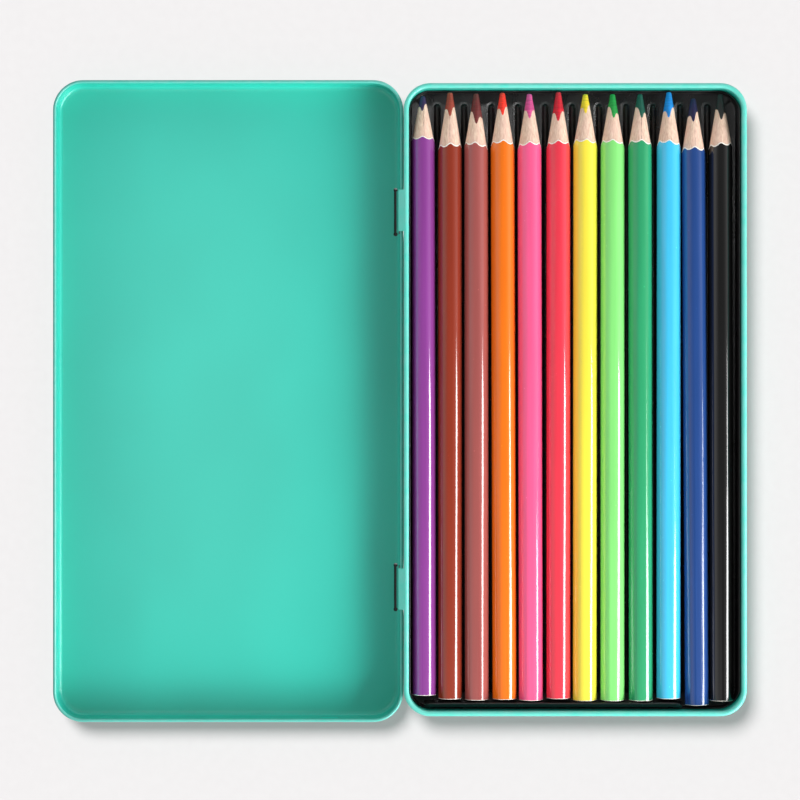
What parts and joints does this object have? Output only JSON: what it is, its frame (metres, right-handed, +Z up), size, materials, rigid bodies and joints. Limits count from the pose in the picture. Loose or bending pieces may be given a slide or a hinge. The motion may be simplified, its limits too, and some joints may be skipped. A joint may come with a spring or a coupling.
{
  "type": "hinged tin of coloured pencils",
  "caption": "Flat hinged tin lying open, with a row of sharpened hexagonal coloured pencils in a ribbed insert.",
  "frame": {"origin": "middle of the open tin's underside, on the surface that it lies on", "axes": "+X from the lid across the hinge to the base, +Y along the hinge towards the pencil tips, +Z up"},
  "size_m": [0.2016, 0.1866, 0.0092],
  "materials": {
    "mint_enamel": "glossy mint stoving enamel on tinplate, inside and out",
    "insert_plastic": "thermoformed glossy black sheet",
    "pencil_wood": "bare sharpened wood, satin, fine straight grain",
    "purple_lacquer": "glossy lacquer dipped over the wood",
    "purple_core": "waxy pigmented core, sharpened smooth",
    "brown_lacquer": "glossy lacquer dipped over the wood",
    "brown_core": "waxy pigmented core, sharpened smooth",
    "rosewood_lacquer": "glossy lacquer dipped over the wood",
    "rosewood_core": "waxy pigmented core, sharpened smooth",
    "orange_lacquer": "glossy lacquer dipped over the wood",
    "orange_core": "waxy pigmented core, sharpened smooth",
    "pink_lacquer": "glossy lacquer dipped over the wood",
    "pink_core": "waxy pigmented core, sharpened smooth",
    "red_lacquer": "glossy lacquer dipped over the wood",
    "red_core": "waxy pigmented core, sharpened smooth",
    "yellow_lacquer": "glossy lacquer dipped over the wood",
    "yellow_core": "waxy pigmented core, sharpened smooth",
    "lime_lacquer": "glossy lacquer dipped over the wood",
    "lime_core": "waxy pigmented core, sharpened smooth",
    "green_lacquer": "glossy lacquer dipped over the wood",
    "green_core": "waxy pigmented core, sharpened smooth",
    "sky_lacquer": "glossy lacquer dipped over the wood",
    "sky_core": "waxy pigmented core, sharpened smooth",
    "navy_lacquer": "glossy lacquer dipped over the wood",
    "navy_core": "waxy pigmented core, sharpened smooth",
    "black_lacquer": "glossy lacquer dipped over the wood",
    "black_core": "waxy pigmented core, sharpened smooth"
  },
  "bodies": {
    "base": {"tin_base": "mint_enamel"},
    "lid": {"tin_lid": "mint_enamel"},
    "insert": {"insert_tray": "insert_plastic"},
    "purple_pencil": {"purple_casing": "pencil_wood", "purple_lacquer": "purple_lacquer", "purple_core": "purple_core"},
    "brown_pencil": {"brown_casing": "pencil_wood", "brown_lacquer": "brown_lacquer", "brown_core": "brown_core"},
    "rosewood_pencil": {"rosewood_casing": "pencil_wood", "rosewood_lacquer": "rosewood_lacquer", "rosewood_core": "rosewood_core"},
    "orange_pencil": {"orange_casing": "pencil_wood", "orange_lacquer": "orange_lacquer", "orange_core": "orange_core"},
    "pink_pencil": {"pink_casing": "pencil_wood", "pink_lacquer": "pink_lacquer", "pink_core": "pink_core"},
    "red_pencil": {"red_casing": "pencil_wood", "red_lacquer": "red_lacquer", "red_core": "red_core"},
    "yellow_pencil": {"yellow_casing": "pencil_wood", "yellow_lacquer": "yellow_lacquer", "yellow_core": "yellow_core"},
    "lime_pencil": {"lime_casing": "pencil_wood", "lime_lacquer": "lime_lacquer", "lime_core": "lime_core"},
    "green_pencil": {"green_casing": "pencil_wood", "green_lacquer": "green_lacquer", "green_core": "green_core"},
    "sky_pencil": {"sky_casing": "pencil_wood", "sky_lacquer": "sky_lacquer", "sky_core": "sky_core"},
    "navy_pencil": {"navy_casing": "pencil_wood", "navy_lacquer": "navy_lacquer", "navy_core": "navy_core"},
    "black_pencil": {"black_casing": "pencil_wood", "black_lacquer": "black_lacquer", "black_core": "black_core"}
  },
  "joints": [
    {"name": "lid_hinge", "type": "hinge", "parent": "base", "child": "lid", "pos_m": [0.00055, 0, 0.0073], "axis": [0, -1, 0], "range_deg": [-180, 0]},
    {"name": "insert_lift", "type": "slide", "parent": "base", "child": "insert", "axis": [0, 0, 1], "range_m": [0, 0.03]},
    {"name": "purple_lift", "type": "slide", "parent": "insert", "child": "purple_pencil", "axis": [0, 0, 1], "range_m": [0, 0.03]},
    {"name": "brown_lift", "type": "slide", "parent": "insert", "child": "brown_pencil", "axis": [0, 0, 1], "range_m": [0, 0.03]},
    {"name": "rosewood_lift", "type": "slide", "parent": "insert", "child": "rosewood_pencil", "axis": [0, 0, 1], "range_m": [0, 0.03]},
    {"name": "orange_lift", "type": "slide", "parent": "insert", "child": "orange_pencil", "axis": [0, 0, 1], "range_m": [0, 0.03]},
    {"name": "pink_lift", "type": "slide", "parent": "insert", "child": "pink_pencil", "axis": [0, 0, 1], "range_m": [0, 0.03]},
    {"name": "red_lift", "type": "slide", "parent": "insert", "child": "red_pencil", "axis": [0, 0, 1], "range_m": [0, 0.03]},
    {"name": "yellow_lift", "type": "slide", "parent": "insert", "child": "yellow_pencil", "axis": [0, 0, 1], "range_m": [0, 0.03]},
    {"name": "lime_lift", "type": "slide", "parent": "insert", "child": "lime_pencil", "axis": [0, 0, 1], "range_m": [0, 0.03]},
    {"name": "green_lift", "type": "slide", "parent": "insert", "child": "green_pencil", "axis": [0, 0, 1], "range_m": [0, 0.03]},
    {"name": "sky_lift", "type": "slide", "parent": "insert", "child": "sky_pencil", "axis": [0, 0, 1], "range_m": [0, 0.03]},
    {"name": "navy_lift", "type": "slide", "parent": "insert", "child": "navy_pencil", "axis": [0, 0, 1], "range_m": [0, 0.03]},
    {"name": "black_lift", "type": "slide", "parent": "insert", "child": "black_pencil", "axis": [0, 0, 1], "range_m": [0, 0.03]}
  ]
}
